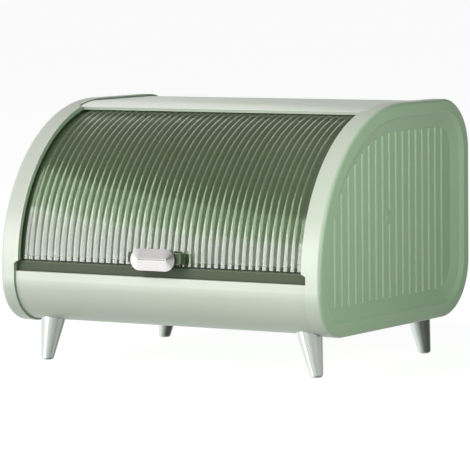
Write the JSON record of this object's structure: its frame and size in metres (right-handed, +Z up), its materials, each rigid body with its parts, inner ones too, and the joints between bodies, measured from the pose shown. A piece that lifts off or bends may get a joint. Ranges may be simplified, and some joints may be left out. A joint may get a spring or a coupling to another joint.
{
  "type": "roll-top bread box",
  "caption": "Bread box with moulded ribbed ends, a clear green ribbed lid that rolls back under the top on arc tracks, a metal knob and splayed metal legs.",
  "frame": {"origin": "on the floor under the middle of the whole box, between the tips of the legs", "axes": "+X across to the right end seen from the front, +Y from the lid to the back, +Z up"},
  "size_m": [0.353, 0.299, 0.2475],
  "materials": {
    "body_plastic": "satin moulded ABS in sage green",
    "cheek_plastic": "plain moulded ABS in sage green",
    "lid_clear": "clear green tinted, ribbed",
    "lid_edge": "dark green, smooth",
    "handle_metal": "bright plated",
    "foot_metal": "satin turned",
    "fastener_steel": "zinc plated",
    "stop_rubber": "matt"
  },
  "bodies": {
    "case": {"left_end_cover": "body_plastic", "right_end_cover": "body_plastic", "left_inner_cheek": "cheek_plastic", "right_inner_cheek": "cheek_plastic", "base_tray": "body_plastic", "back_panel": "body_plastic", "top_panel": "body_plastic", "front_left_foot": "foot_metal", "front_right_foot": "foot_metal", "back_left_foot": "foot_metal", "back_right_foot": "foot_metal", "foot_bolts": "fastener_steel", "foot_washers": "fastener_steel", "left_cheek_screws": "fastener_steel", "right_cheek_screws": "fastener_steel", "left_stop_pad": "stop_rubber", "right_stop_pad": "stop_rubber"},
    "lid": {"lid_shell": "lid_clear", "lid_bottom_rail": "lid_edge", "left_lid_runner": "lid_edge", "right_lid_runner": "lid_edge", "handle_base": "lid_edge", "handle_knob": "handle_metal", "handle_screws": "fastener_steel"}
  },
  "joints": [
    {"name": "lid_roll", "type": "hinge", "parent": "case", "child": "lid", "pos_m": [0, 0.014, 0.091], "axis": [-1, 0, 0], "range_deg": [0, 63]}
  ]
}
